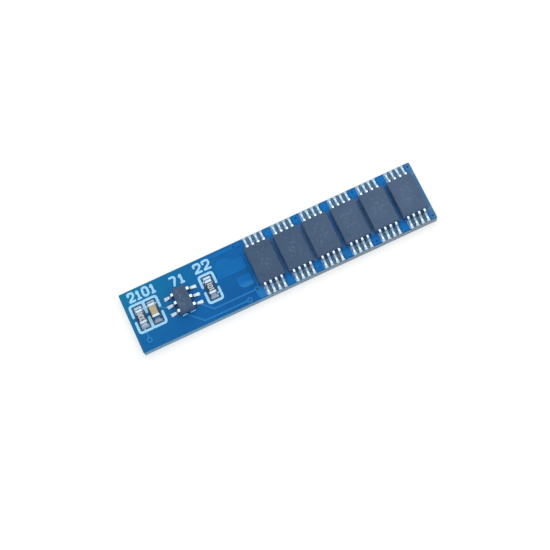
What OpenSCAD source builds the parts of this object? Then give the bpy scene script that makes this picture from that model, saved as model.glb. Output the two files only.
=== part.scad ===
// Battery protection board: a narrow printed circuit board with a row of dual
// MOSFETs, the protection controller, two chip resistors and a chip capacitor.
// Millimetres. The origin is in the middle of the underside, +X runs along the
// board towards the MOSFET end, +Y across it and +Z out of the component side.

/* [Board] */
// Length of the board
board_l = 34.8; // [34:0.1:45]
// Width of the board
board_w = 7.1; // [6.9:0.05:9]
// Thickness of the glass and epoxy laminate
core_t = 0.9; // [0.4:0.1:1.6]
// Radius of the board's four corners
corner_r = 0.15; // [0.05:0.05:1]
// Thickness of the copper foil on each face
copper_t = 0.035; // [0.018:0.001:0.07]
// Thickness of the solder mask film
mask_t = 0.025; // [0.01:0.005:0.04]
// Thickness of the silkscreen ink
ink_t = 0.02; // [0.01:0.005:0.03]
// How far copper stays back from the board's edges
edge_gap = 0.05; // [0.03:0.01:0.2]

/* [Copper and mask] */
// Width of a signal track
track_w = 0.16; // [0.1:0.01:0.25]
// Width of the track between two packages
riser_w = 0.13; // [0.1:0.01:0.15]
// Width of the band along the upper edge
band_w = 0.38; // [0.3:0.01:0.45]
// Gap between copper areas that aren't joined
copper_gap = 0.1; // [0.08:0.01:0.12]
// Width of the ring of copper round a via
ring_w = 0.15; // [0.1:0.01:0.2]
// Diameter of a via's open hole
via_d = 0.25; // [0.2:0.01:0.4]
// Thickness of the plating in a via's hole
plating_t = 0.025; // [0.02:0.005:0.04]
// How far the raised mask laps past the copper beneath it
mask_lap = 0.03; // [0.02:0.01:0.05]
// Bare gap between a land and the edge of its mask window
mask_gap = 0.05; // [0.03:0.01:0.08]
// Distance of the edge vias and edge tracks from the board's edge
edge_run = 0.45; // [0.4:0.01:0.6]
// Distance of the inner long track from the lower edge
inner_run = 1.22; // [1.1:0.02:1.4]

/* [MOSFET packages] */
// Number of packages in the row
mos_count = 6; // [2:2:6]
// Distance between the middles of neighbouring packages
mos_pitch = 3.4; // [3.2:0.05:3.6]
// Gap between the last package and the board's end
row_end_gap = 0.45; // [0.4:0.05:0.9]
// Length of the moulding along its rows of leads
mos_l = 3; // [2.9:0.05:3.1]
// Width of the moulding between its rows of leads
mos_w = 4.4; // [4.3:0.05:4.5]
// Height of the moulding
mos_h = 0.9; // [0.7:0.05:1.2]
// Gap under the moulding
mos_standoff = 0.1; // [0.05:0.01:0.2]
// Number of leads in each row
mos_leads = 4; // [2:1:4]
// Distance between neighbouring leads
mos_lead_pitch = 0.65; // [0.6:0.01:0.7]
// Width of a lead
mos_lead_w = 0.25; // [0.2:0.01:0.3]
// Span from toe to toe across the package
mos_span = 6.4; // [6.2:0.05:6.5]
// Width of the land under a lead
mos_land_w = 0.38; // [0.34:0.01:0.42]
// Diameter of the dimple that marks the first lead
dimple_d = 0.5; // [0.3:0.05:0.7]

/* [Controller] */
// Distance of the controller's middle from the board's left end
ctl_x = 6.2; // [6:0.05:6.5]
// Distance of the controller's middle below the board's centre line
ctl_drop = 0.08; // [0:0.02:0.2]
// Length of the moulding along its rows of leads
ctl_l = 2.9; // [2.8:0.05:3]
// Width of the moulding between its rows of leads
ctl_w = 1.6; // [1.5:0.05:1.7]
// Height of the moulding
ctl_h = 1.1; // [0.9:0.05:1.2]
// Gap under the moulding
ctl_standoff = 0.06; // [0.04:0.01:0.15]
// Number of leads in each row
ctl_leads = 3; // [2:1:3]
// Distance between neighbouring leads
ctl_lead_pitch = 0.95; // [0.9:0.01:1]
// Width of a lead
ctl_lead_w = 0.34; // [0.3:0.01:0.45]
// Span from toe to toe across the package
ctl_span = 2.9; // [2.8:0.05:3.1]
// Width of the land under a lead
ctl_land_w = 0.42; // [0.4:0.01:0.6]
// Length of the land past the lead's toe
ctl_land_toe = 0.45; // [0.3:0.05:0.5]

/* [Leads and solder] */
// Thickness of the lead frame's metal
lead_t = 0.15; // [0.1:0.01:0.2]
// Depth of a lead's root in the moulding
lead_root = 0.3; // [0.2:0.05:0.5]
// Radius of a lead's bends, at the middle of its thickness
bend_r = 0.11; // [0.1:0.01:0.13]
// Length of the straight shoulder outside the moulding
shoulder = 0.06; // [0.04:0.01:0.1]
// Slope of a lead between its bends, in degrees
lead_slope = 78; // [70:1:84]
// Draft of the mouldings, in degrees
draft = 12; // [5:1:15]
// Thickness of the solder between a land and what stands on it
film_t = 0.02; // [0.01:0.005:0.04]
// Height of the solder at the edge of its land
lip_t = 0.015; // [0.01:0.005:0.02]

/* [Chip parts] */
// Length of a chip over its two end caps
chip_l = 1.6; // [1.5:0.05:1.7]
// Width of a chip
chip_w = 0.8; // [0.7:0.05:0.85]
// Height of a chip resistor
res_h = 0.45; // [0.4:0.05:0.6]
// Height of the chip capacitor
cap_h = 0.8; // [0.6:0.05:0.9]
// Length of an end cap along the chip
term_l = 0.3; // [0.2:0.05:0.4]
// Thickness of an end cap's metal
term_t = 0.03; // [0.02:0.005:0.05]
// Thickness of the glass coat on a resistor
coat_t = 0.02; // [0.01:0.005:0.02]
// Width of a chip's land
chip_land_w = 0.86; // [0.86:0.02:1]
// Length of a chip's land
chip_land_l = 0.9; // [0.8:0.05:1]
// Gap between a chip's two lands
chip_land_gap = 0.78; // [0.7:0.02:0.9]
// Distance of the supply resistor's middle from the left end
supply_x = 1.35; // [1.3:0.05:1.5]
// Distance between the supply resistor and the capacitor
pair_pitch = 1.52; // [1.5:0.02:1.7]
// Distance of that pair above the board's centre line
pair_rise = 0.2; // [0:0.05:0.3]
// Distance of the sense resistor's middle from the left end
sense_x = 9.43; // [9.3:0.05:9.8]

/* [Printed frames] */
// Width of a printed frame
frame_w = 1.86; // [1.8:0.02:1.9]
// Length of a printed frame
frame_l = 3.47; // [3.3:0.05:3.6]
// Width of the printed line
pen_w = 0.28; // [0.2:0.02:0.3]
// Outer radius of a frame's corners
frame_r = 0.38; // [0.3:0.02:0.45]
// Gap in the middle of a frame's long sides
frame_gap = 0.38; // [0.2:0.02:0.6]
// Width of the dashes beside the controller
dash_w = 0.14; // [0.1:0.02:0.2]
// Length of a dash
dash_l = 0.6; // [0.4:0.05:0.7]
// Gap between two dashes
dash_gap = 0.32; // [0.2:0.02:0.5]

/* [Solder pads underneath] */
// Length of the battery plus pad
plus_pad_l = 3.4; // [2:0.1:3.6]
// Length of the battery minus pad
minus_pad_l = 5; // [3:0.1:6]
// Width of the two battery pads
cell_pad_w = 4.4; // [3:0.1:4.6]
// Length of the pack minus pad
pack_pad_l = 7; // [4:0.1:9]
// Width of the pack minus pad
pack_pad_w = 1.9; // [1.2:0.1:2]
// Corner radius of the pads
pad_r = 0.3; // [0.1:0.05:0.5]

/* [Hidden] */
$fn = 48;
mosfet_names = [for (i = [1:mos_count]) str("mosfet_", i)];

mask_color = "#1c64a8";
copper_color = "#b87333";
tin_color = "#c9d3dc";
moulding_color = "#545f73";
ink_color = "#c3dcf0";

// Steps in a rounded corner, in the round end of a line and in a hollow fillet
corner_steps = 4;
end_steps = 8;
hollow_steps = 3;
// Extra length of a cutting solid past the face that it cuts
cut = 0.1;

// Heights: mask, copper and laminate underneath, then the component side
core_z = mask_t + copper_t;
top_z = core_z + core_t;
land_z = top_z + copper_t;
seat_z = land_z + film_t;

// Places of the vias: the supply via left of its resistor and above the lower edge, the three
// ahead of the first gap of the row, the last pair inside the last gap, and the source vias on
// each side of the middle of their package
supply_via_left = 0.16;
supply_via_rise = 1.09;
low_via_ahead = 1.49;
high_via_ahead = 0.68;
corner_via_ahead = 0.25;
end_via_inset = 0.12;
source_via_x = 0.7;

// The pours ahead of the first package: their gap to it and their shapes
pour_clear = 0.27;
pour_r = 0.2;
pour_back = 0.35;
upper_pour_low = 0.35;
upper_pour_high = 1.8;
upper_pour_step = 1.13;
upper_pour_rise = 0.6;
upper_pour_slope = 0.65;
lower_pour_l = 1.58;
lower_pour_out = 1.6;
lower_pour_cut = 0.42;
lower_pour_r = 0.15;
corner_pour_back = 0.45;
corner_pour_cuts = [0.25, 0.03, 0.3, 0.15];
// The band starts this far past the sense resistor's frame
band_ahead = 0.6;

// Bends of the tracks: how far a track leaves its land before it turns, how far it stays
// outside a printed frame and where a track joins a controller land, back from its toe
sense_rise = 1.1;
sense_bend_r = 0.4;
frame_clear = 0.1;
joint_back = 0.2;

// Gap in plan between the controller's moulding and the middle of its printed dashes
dash_clear = 0.03;

// Solder climbs a lead's sides, toe and heel to these heights, in lead thicknesses, and a chip's
// end to this share of its height. side_film is its thickness against a lead's sides.
side_wet = 0.6;
toe_wet = 0.8;
heel_wet = 1.4;
chip_wet = 0.7;
side_film = 0.03;

// Distance of the dimple's middle from the moulding's sides, and its depth
dimple_in = 0.6;
dimple_depth = 0.03;

// Underneath: margins of the pours, the gap between the two nets of the pack end, and the
// middles of the battery pads from the left end
pour_margin = 0.35;
bottom_split = 0.15;
pack_margin = 1;
pad_margin = 0.45;
plus_pad_x = 2.45;
minus_pad_x = 9.15;

left_x = -board_l / 2;
right_x = board_l / 2;
low_y = -board_w / 2;
high_y = board_w / 2;
drill_d = via_d + 2 * plating_t;
ring_d = drill_d + 2 * ring_w;

// Middle of a package, counted from the left
function mos_x(i) = right_x - row_end_gap - mos_l / 2 - (mos_count - 1 - i) * mos_pitch;
// Middle of the gap before package i
function gap_x(i) = mos_x(i) - mos_pitch / 2;

// How far the lands start outside their package's moulding
mos_land_clear = 0.13;
ctl_land_clear = 0.05;
mos_row = (mos_leads - 1) * mos_lead_pitch;
mos_lands_edge = mos_row / 2 + mos_land_w / 2;
mos_land_in = mos_w / 2 + mos_land_clear;
mos_land_out = board_w / 2 - edge_gap;
ctl_land_in = ctl_w / 2 + ctl_land_clear;
ctl_land_out = ctl_span / 2 + ctl_land_toe;
ctl_pos = [left_x + ctl_x, -ctl_drop];
supply_pos = [left_x + supply_x, pair_rise];
capacitor_pos = supply_pos + [pair_pitch, 0];
sense_pos = [left_x + sense_x, 0];
chip_land_y = (chip_land_gap + chip_land_l) / 2;
chip_land_end = chip_land_gap / 2 + chip_land_l;
// The bare opening inside a printed frame
frame_window = [chip_land_w + 6 * mask_gap, frame_l - 2 * pen_w - mask_gap];

// ---- Plane geometry ----

half_turn = 180;
function heading(a, b) = (b - a) / norm(b - a);
function leftward(v) = [-v[1], v[0]];
function turned(v, angle) =
    [v[0] * cos(angle) - v[1] * sin(angle), v[0] * sin(angle) + v[1] * cos(angle)];

// The corner a-b-c as an arc of radius r
function arc_corner(a, b, c, r) =
    let (u = heading(b, a), v = heading(b, c), half = acos(u * v) / 2,
         middle = b + (u + v) / norm(u + v) * r / sin(half),
         start = b + u * r / tan(half) - middle,
         sweep = (half_turn - 2 * half) * sign(cross(b - a, c - b)))
    [for (k = [0:corner_steps]) middle + turned(start, sweep * k / corner_steps)];

// An open path with its inner corners rounded
function soft_path(p, r) =
    [for (i = [0:len(p) - 1])
        each (i == 0 || i == len(p) - 1) ? [p[i]] : arc_corner(p[i - 1], p[i], p[i + 1], r)];

// A closed outline with all its corners rounded
function soft_loop(p, r) =
    let (n = len(p))
    [for (i = [0:n - 1]) each arc_corner(p[(i + n - 1) % n], p[i], p[(i + 1) % n], r)];

// The sideways step that keeps a line of width 2 parallel at point i of a path
function mitre(p, i) =
    let (n = len(p),
         before = leftward(heading(p[max(i - 1, 0)], p[max(i, 1)])),
         after = leftward(heading(p[min(i, n - 2)], p[min(i + 1, n - 1)])))
    (before + after) / (1 + before * after);

// The outline of a line of width w along a path, with round or square ends
function ribbon(p, w, round_ends = true) =
    let (n = len(p), r = w / 2,
         first = leftward(heading(p[1], p[0])), last = leftward(heading(p[n - 2], p[n - 1])),
         steps = round_ends ? end_steps : 0)
    concat(
        [for (i = [0:n - 1]) p[i] + mitre(p, i) * r],
        [for (k = [1:1:steps - 1]) p[n - 1] + turned(last, -half_turn * k / steps) * r],
        [for (i = [n - 1:-1:0]) p[i] - mitre(p, i) * r],
        [for (k = [1:1:steps - 1]) p[0] + turned(first, -half_turn * k / steps) * r]);

// A counter-clockwise outline pushed outwards by d
function grown(p, d) =
    let (n = len(p))
    [for (i = [0:n - 1])
        let (before = leftward(heading(p[(i + n - 1) % n], p[i])),
             after = leftward(heading(p[i], p[(i + 1) % n])))
        p[i] - (before + after) / (1 + before * after) * d];

function rectangle(low, high) = [low, [high[0], low[1]], high, [low[0], high[1]]];
function reversed(p) = [for (i = [len(p) - 1:-1:0]) p[i]];
function mirrored(p) = [for (point = reversed(p)) [point[0], -point[1]]];

// Points of a hollow fillet that falls from height h at a to height lip_t at b
function hollow(a, b, h) =
    [for (k = [1:hollow_steps - 1])
        let (s = k / hollow_steps) [a + (b - a) * s, lip_t + (h - lip_t) * (1 - s) * (1 - s)]];

// ---- Copper on the component side ----

// Landing point of a controller lead: side -1 is left, row counts from the lower end
function ctl_land(side, row, reach) =
    ctl_pos + [side * reach, (row - (ctl_leads - 1) / 2) * ctl_lead_pitch];

// The two buses under each pair of packages carry the source current. bus_in is their
// distance from the centre line, and bus_margin from the moulding's outline.
bus_in = 0.3;
bus_margin = 0.45;
bus_out = mos_w / 2 - bus_margin;
function bus(i) =
    rectangle([gap_x(i) + riser_w / 2 + copper_gap, bus_in],
              [gap_x(i + 2) - riser_w / 2 - copper_gap, bus_out]);

// Vias: one left of the supply resistor, three ahead of the first package, one or two in
// every second gap of the row, and four under each package
supply_via = [supply_pos[0] - supply_via_left, low_y + supply_via_rise];
low_via = [gap_x(0) - low_via_ahead, low_y + edge_run];
high_via = [gap_x(0) - high_via_ahead, high_y - edge_run];
corner_via = [gap_x(0) - corner_via_ahead, low_y + inner_run];
end_via_x = gap_x(mos_count) - end_via_inset;
row_vias = [for (i = [2:2:mos_count], s = [-1, 1])
    [i == mos_count ? end_via_x : gap_x(i), s * (high_y - edge_run)]];
source_vias = [for (i = [0:mos_count - 1], dx = [-source_via_x, source_via_x], s = [-1, 1])
    [mos_x(i) + dx, s * (bus_in + bus_out) / 2]];
vias = concat([supply_via, low_via, high_via, corner_via], row_vias, source_vias);

// A tab of copper fills the edge between two packages and joins the next one's first land
tab_out = high_y - edge_gap - copper_gap;
tab_in = mos_land_in + 2 * mask_gap;
function tab(i) =
    let (a = gap_x(i) - mos_pitch / 2 + mos_lands_edge + copper_gap,
         b = i < mos_count ? gap_x(i) + mos_pitch / 2 - mos_lands_edge + copper_gap
                           : right_x - edge_gap - copper_gap,
         neck = (mos_pitch - mos_l) / 2, neck_y = mos_w / 2 - copper_gap)
    [[gap_x(i) - neck, neck_y], [min(gap_x(i) + neck, b), neck_y],
     [b, tab_in], [b, tab_out], [a, tab_out], [a, tab_in]];

// A rectangle with its corners cut off, from the lower left one round by the lower right
function cut_corners(low, high, cuts) =
    [[low[0], low[1] + cuts[0]], [low[0] + cuts[0], low[1]],
     [high[0] - cuts[1], low[1]], [high[0], low[1] + cuts[1]],
     [high[0], high[1] - cuts[2]], [high[0] - cuts[2], high[1]],
     [low[0] + cuts[3], high[1]], [low[0], high[1] - cuts[3]]];

// The band along the upper edge, and the pours ahead of the first package
band_y = high_y - edge_run;
band_x = sense_pos[0] + frame_w / 2 + band_ahead;
pour_left = band_x - pour_back;
pour_right = gap_x(0) - pour_clear;
corner_pour = cut_corners([gap_x(0) - corner_pour_back, -tab_out],
                          [mos_x(0) - mos_lands_edge + copper_gap, low_y + inner_run + ring_w / 2],
                          corner_pour_cuts);
upper_pour = soft_loop([[pour_left, upper_pour_low], [pour_right, upper_pour_low],
    [pour_right, upper_pour_high], [pour_right - upper_pour_step, upper_pour_high],
    [pour_right - upper_pour_step - upper_pour_rise, upper_pour_high + upper_pour_rise],
    [pour_left + upper_pour_slope, upper_pour_high + upper_pour_rise],
    [pour_left, upper_pour_high + upper_pour_rise - upper_pour_slope]], pour_r);
lower_pour = soft_loop([[pour_right - lower_pour_l + lower_pour_cut, -lower_pour_out],
    [pour_right, -lower_pour_out], [pour_right, -pour_clear],
    [pour_right - lower_pour_l, -pour_clear],
    [pour_right - lower_pour_l, lower_pour_cut - lower_pour_out]], lower_pour_r);

top_pours = concat(
    [corner_pour, upper_pour, lower_pour],
    [for (i = [1:mos_count]) each [tab(i), mirrored(tab(i))]],
    [for (i = [0:2:mos_count - 2]) each [bus(i), mirrored(bus(i))]]);

discharge_start = ctl_land(-1, 0, ctl_land_in);
discharge_drop = discharge_start[1] - low_via[1];
charge_start = ctl_land(1, 0, ctl_span / 2 - joint_back / 2);
charge_drop = charge_start[1] - (low_y + inner_run);
sense_start = ctl_land(1, ctl_leads - 1, ctl_span / 2 - joint_back / 2);
sense_turn = sense_start + [0, sense_rise];
frame_side = (frame_w - pen_w) / 2;
supply_end = supply_pos + [0, chip_land_y];
capacitor_end = capacitor_pos + [0, chip_land_y];
sense_far_end = sense_pos + [0, chip_land_y];
sense_near_end = sense_pos - [0, chip_land_y];

// Each track is a path and a width
top_tracks = concat(
    [[[supply_via, [supply_via[0], supply_pos[1] - chip_land_y]], track_w],
     [[discharge_start, discharge_start + [discharge_drop, -discharge_drop], low_via], track_w],
     [[charge_start, charge_start + [charge_drop, -charge_drop],
       [gap_x(0), low_y + inner_run]], track_w],
     [soft_path([sense_start, sense_turn, [sense_turn[0] + band_y - sense_turn[1], band_y],
                 [band_x, band_y]], sense_bend_r), track_w],
     [[[band_x, band_y], [gap_x(0), band_y]], band_w],
     [[supply_end, capacitor_end], track_w],
     [[capacitor_end, capacitor_end + [frame_side, 0], capacitor_pos + [frame_side + frame_clear, 0],
       ctl_land(-1, 1, ctl_land_out - joint_back)], track_w],
     [[ctl_land(1, 1, ctl_land_out - joint_back), sense_pos - [frame_side + frame_clear, 0],
       sense_far_end - [frame_side, 0], sense_far_end], track_w],
     [[sense_near_end, sense_near_end + [frame_side, 0],
       sense_pos + [frame_side + frame_clear, upper_pour_low + track_w],
       [band_x, upper_pour_low + track_w]], track_w]],
    [for (i = [0:2:mos_count]) [[[gap_x(i), -tab_in], [gap_x(i), tab_in]], riser_w]],
    [for (i = [0:mos_count - 1], k = [1:mos_leads - 2], s = [-1, 1])
        let (x = mos_x(i) - mos_row / 2 + k * mos_lead_pitch)
        [[[x, s * (bus_out - joint_back)], [x, s * (mos_land_in + joint_back)]], track_w]]);

// ---- Copper underneath ----

strip_out = high_y - edge_run - ring_d / 2 - copper_gap;
plus_end = left_x + plus_pad_x + plus_pad_l / 2 + pad_margin;
minus_start = plus_end + pour_margin;
pack_start = gap_x(0) - pour_margin;
strip_end = right_x - pour_margin - copper_gap;
plus_pad_pos = [left_x + plus_pad_x, 0];
minus_pad_pos = [left_x + minus_pad_x, 0];
pack_pad_pos = [right_x - pack_margin - pack_pad_l / 2, (bottom_split + strip_out) / 2];

// The battery plus pour, the battery minus pour round the pack minus pour, and that one
bottom_pours = [
    soft_loop(rectangle([left_x + pour_margin, low_y + pour_margin],
                        [plus_end, high_y - pour_margin]), pad_r),
    soft_loop([[minus_start, -strip_out], [strip_end, -strip_out], [strip_end, -bottom_split],
               [pack_start - 2 * bottom_split, -bottom_split],
               [pack_start - 2 * bottom_split, strip_out], [minus_start, strip_out]], pad_r),
    soft_loop(rectangle([pack_start, bottom_split], [strip_end, strip_out]), pad_r)];
bottom_tracks = [for (via = [low_via, high_via]) [[via, [end_via_x, via[1]]], track_w]];

function pad(at, l, w) = soft_loop(rectangle(at - [l, w] / 2, at + [l, w] / 2), pad_r);
bottom_pads = [pad(plus_pad_pos, plus_pad_l, cell_pad_w),
    pad(minus_pad_pos, minus_pad_l, cell_pad_w), pad(pack_pad_pos, pack_pad_l, pack_pad_w)];

// ---- Board ----

module slab(outline, t) { linear_extrude(t) polygon(outline); }

module board_slab(t) {
    slab(soft_loop(rectangle([left_x, low_y], [right_x, high_y]), corner_r), t);
}

// Drilled or open via holes, through the height t
module via_holes(d, t) {
    for (at = vias) translate([at[0], at[1], -cut]) cylinder(d = d, h = t + 2 * cut);
}

// Tracks, pours and via rings of one layer, each grown by g
module pattern(tracks, pours, g, t) {
    for (track = tracks) slab(ribbon(track[0], track[1] + 2 * g), t);
    for (pour = pours) slab(grown(pour, g), t);
    for (at = vias) translate([at[0], at[1], 0]) cylinder(d = ring_d + 2 * g, h = t);
}

// The lands of one row of leads: n lands at a pitch, from near to far on the +Y side
module land_row(n, pitch, w, near, far, t) {
    for (k = [0:n - 1])
        translate([(k - (n - 1) / 2) * pitch - w / 2, near, 0]) cube([w, far - near, t]);
}

module both_rows() {
    for (turn = [0, 180]) rotate([0, 0, turn]) children();
}

module at_mosfet(i, z) { translate([mos_x(i), 0, z]) children(); }
module at_controller(z) { translate([ctl_pos[0], ctl_pos[1], z]) rotate([0, 0, 90]) children(); }
module at_chip(pos, z) { translate([pos[0], pos[1], z]) children(); }

module chip_lands(t) {
    for (side = [-1, 1])
        translate([0, side * chip_land_y, t / 2]) cube([chip_land_w, chip_land_l, t], center = true);
}

module lands(t) {
    for (i = [0:mos_count - 1]) at_mosfet(i, 0) both_rows()
        land_row(mos_leads, mos_lead_pitch, mos_land_w, mos_land_in, mos_land_out, t);
    at_controller(0) both_rows()
        land_row(ctl_leads, ctl_lead_pitch, ctl_land_w, ctl_land_in, ctl_land_out, t);
    for (pos = [supply_pos, capacitor_pos, sense_pos]) at_chip(pos, 0) chip_lands(t);
}

module box_from(low, high, t) {
    translate([low[0], low[1], -cut]) cube([high[0] - low[0], high[1] - low[1], t + 2 * cut]);
}

// Openings in the upper mask: one for each row of MOSFET leads, each controller land and
// the inside of each printed frame
module mask_windows(t) {
    for (i = [0:mos_count - 1]) at_mosfet(i, 0) both_rows()
        box_from([-mos_lands_edge - mask_gap, mos_land_in - mask_gap],
                 [mos_lands_edge + mask_gap, high_y + cut], t);
    at_controller(0) both_rows() translate([0, 0, -cut])
        land_row(ctl_leads, ctl_lead_pitch, ctl_land_w + 2 * mask_gap,
                 ctl_land_in - mask_gap, ctl_land_out + mask_gap, t + 2 * cut);
    for (pos = [supply_pos, capacitor_pos, sense_pos]) at_chip(pos, 0)
        box_from(-frame_window / 2, frame_window / 2, t);
}

module laminate() {
    color("#9fb3a2") translate([0, 0, core_z]) difference() {
        board_slab(core_t);
        via_holes(drill_d, core_t);
    }
}

module top_copper() {
    color(copper_color) translate([0, 0, top_z]) difference() {
        union() {
            pattern(top_tracks, top_pours, 0, copper_t);
            lands(copper_t);
        }
        via_holes(drill_d, copper_t);
    }
}

module bottom_copper() {
    color(copper_color) translate([0, 0, mask_t]) difference() {
        pattern(bottom_tracks, bottom_pours, 0, copper_t);
        via_holes(drill_d, copper_t);
    }
}

module via_barrels() {
    color(copper_color) for (at = vias) translate([at[0], at[1], mask_t]) difference() {
        cylinder(d = drill_d, h = core_t + 2 * copper_t);
        translate([0, 0, -cut]) cylinder(d = via_d, h = core_t + 2 * copper_t + 2 * cut);
    }
}

// The mask lies on the laminate and rises over the copper
module mask_film(tracks, pours) {
    difference() {
        union() {
            board_slab(mask_t);
            pattern(tracks, pours, mask_lap, copper_t + mask_t);
        }
        translate([0, 0, -cut]) pattern(tracks, pours, 0, copper_t + cut);
        via_holes(via_d, copper_t + mask_t);
    }
}

module top_mask() {
    color(mask_color) translate([0, 0, top_z]) difference() {
        mask_film(top_tracks, top_pours);
        mask_windows(copper_t + mask_t);
    }
}

module bottom_mask() {
    color(mask_color) translate([0, 0, core_z]) mirror([0, 0, 1]) difference() {
        mask_film(bottom_tracks, bottom_pours);
        for (outline = bottom_pads) translate([0, 0, -cut])
            slab(outline, copper_t + mask_t + 2 * cut);
    }
}

// The tinned faces of the solder pads, level with the mask round them
module pad_tin() {
    color(tin_color) for (outline = bottom_pads) slab(outline, mask_t);
}

// ---- Printed frames ----

// Upper half of a frame, from one side's gap over the top to the other's
function half_frame(pos) =
    let (x = (frame_w - pen_w) / 2, y = (frame_l - pen_w) / 2, e = (frame_gap + pen_w) / 2)
    [for (p = soft_path([[-x, e], [-x, y], [x, y], [x, e]], frame_r - pen_w / 2)) pos + p];
function half_frame_below(pos) =
    [for (p = half_frame([pos[0], -pos[1]])) [p[0], -p[1]]];
dash_y = ctl_l / 2 + dash_clear;
function dash(side, end) =
    let (near = ctl_pos + [side * (dash_gap + dash_w) / 2, end * dash_y])
    [near, near + [side * (dash_l - dash_w), 0]];

pen_lines = concat(
    [for (pos = [supply_pos, capacitor_pos, sense_pos])
        each [[half_frame(pos), pen_w], [half_frame_below(pos), pen_w]]],
    [for (side = [-1, 1], end = [-1, 1]) [dash(side, end), dash_w]]);

module pen_work(t) {
    for (line = pen_lines) slab(ribbon(line[0], line[1]), t);
}

// The ink lies on the mask, and wraps over the tracks that it crosses
module silkscreen() {
    color(ink_color) translate([0, 0, top_z]) difference() {
        union() {
            pen_work(mask_t + ink_t);
            intersection() {
                pen_work(copper_t + mask_t + ink_t);
                pattern(top_tracks, top_pours, mask_lap + ink_t, copper_t + mask_t + ink_t);
            }
        }
        translate([0, 0, -cut]) board_slab(mask_t + cut);
        translate([0, 0, -cut]) pattern(top_tracks, top_pours, mask_lap, copper_t + mask_t + cut);
    }
}

// ---- Gull-wing packages ----

// A y-z outline drawn out along x, and an x-z outline drawn out along y
module across(outline, w) {
    rotate([90, 0, 90]) linear_extrude(w, center = true) polygon(outline);
}
module along(outline, l) {
    rotate([90, 0, 0]) linear_extrude(l, center = true) polygon(outline);
}

// A moulding's end view: widest at the parting line, drafted above and below it
function moulding_end(w, h) =
    let (i = h / 2 * tan(draft))
    [[i - w / 2, 0], [w / 2 - i, 0], [w / 2, h / 2],
     [w / 2 - i, h], [i - w / 2, h], [-w / 2, h / 2]];

// The middle line of a lead from its root to its toe, on the +Y side. body_w is the
// moulding's width and parting the height of the parting line over the lead's foot.
function lead_line(body_w, parting, span) =
    let (drop = parting - lead_t / 2, out = body_w / 2 + shoulder,
         bend = bend_r * tan(lead_slope / 2))
    [[body_w / 2 - lead_root, parting], [out + bend, parting],
     [out + bend + drop / tan(lead_slope), lead_t / 2], [span / 2, lead_t / 2]];

function lead_outline(body_w, parting, span) =
    ribbon(soft_path(lead_line(body_w, parting, span), bend_r), lead_t, false);

module lead_rows(n, pitch) {
    both_rows() for (k = [0:n - 1]) translate([(k - (n - 1) / 2) * pitch, 0, 0]) children();
}

// The moulding, with a pocket that fits the root of each lead. Its underside is at z = 0.
module moulding(l, w, h, n, pitch, lead_w) {
    difference() {
        intersection() {
            across(moulding_end(w, h), l);
            along(moulding_end(l, h), w);
        }
        lead_rows(n, pitch) translate([-lead_w / 2, w / 2 - lead_root, (h - lead_t) / 2])
            cube([lead_w, lead_root + cut, lead_t]);
    }
}

// The solder under, behind and beyond a lead's foot, as its side view and its end view
function joint_side(near, far, heel, toe) =
    let (side_h = film_t + lead_t * side_wet, toe_h = film_t + lead_t * toe_wet,
         heel_h = film_t + lead_t * heel_wet)
    concat([[near, 0], [far, 0], [far, lip_t]], reversed(hollow(toe, far, toe_h)),
           [[toe, toe_h], [toe - lead_t / 2, side_h], [heel + lead_t, side_h], [heel, heel_h]],
           hollow(heel, near, heel_h), [[near, lip_t]]);
function joint_end(land_w, lead_w) =
    let (a = land_w / 2, b = lead_w / 2 + side_film, c = (a + 2 * b) / 3,
         low = film_t + lead_t * side_wet / 2, high = film_t + 2 * lead_t * heel_wet)
    [[-a, 0], [a, 0], [a, lip_t], [c, low], [b, high], [-b, high], [-c, low], [-a, lip_t]];

module joint(land_w, lead_w, near, far, line, outline) {
    heel = line[2][0] - (film_t + lead_t) / tan(lead_slope);
    difference() {
        intersection() {
            across(joint_side(near, far, heel, line[3][0]), land_w);
            translate([0, (near + far) / 2, 0]) along(joint_end(land_w, lead_w), far - near + cut);
        }
        translate([0, 0, film_t]) across(outline, lead_w);
    }
}

mos_parting = mos_standoff + mos_h / 2;
mos_lead_line = lead_line(mos_w, mos_parting, mos_span);
mos_lead_outline = lead_outline(mos_w, mos_parting, mos_span);
ctl_parting = ctl_standoff + ctl_h / 2;
ctl_lead_line = lead_line(ctl_w, ctl_parting, ctl_span);
ctl_lead_outline = lead_outline(ctl_w, ctl_parting, ctl_span);

module mosfet_package(i) {
    dimple = [dimple_in - mos_l / 2, dimple_in - mos_w / 2, mos_h - dimple_depth];
    color(moulding_color) at_mosfet(i, seat_z + mos_standoff) difference() {
        moulding(mos_l, mos_w, mos_h, mos_leads, mos_lead_pitch, mos_lead_w);
        translate(dimple) cylinder(d = dimple_d, h = dimple_depth + cut);
    }
}

module mosfet_leads(i) {
    color(tin_color) at_mosfet(i, seat_z)
        lead_rows(mos_leads, mos_lead_pitch) across(mos_lead_outline, mos_lead_w);
}

module mosfet_solder(i) {
    color(tin_color) at_mosfet(i, land_z) lead_rows(mos_leads, mos_lead_pitch)
        joint(mos_land_w, mos_lead_w, mos_land_in, mos_land_out, mos_lead_line, mos_lead_outline);
}

module controller_package() {
    color(moulding_color) at_controller(seat_z + ctl_standoff)
        moulding(ctl_l, ctl_w, ctl_h, ctl_leads, ctl_lead_pitch, ctl_lead_w);
}

module controller_leads() {
    color(tin_color) at_controller(seat_z)
        lead_rows(ctl_leads, ctl_lead_pitch) across(ctl_lead_outline, ctl_lead_w);
}

module controller_solder() {
    color(tin_color) at_controller(land_z) lead_rows(ctl_leads, ctl_lead_pitch)
        joint(ctl_land_w, ctl_lead_w, ctl_land_in, ctl_land_out, ctl_lead_line, ctl_lead_outline);
}

// ---- Chip parts, standing on z = 0 with their length along Y ----

module block(w, l, h, z = 0) { translate([-w / 2, -l / 2, z]) cube([w, l, h]); }

// The body between and under the end caps
module chip_body(h) { block(chip_w - 2 * term_t, chip_l - 2 * term_t, h - 2 * term_t, term_t); }

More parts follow.
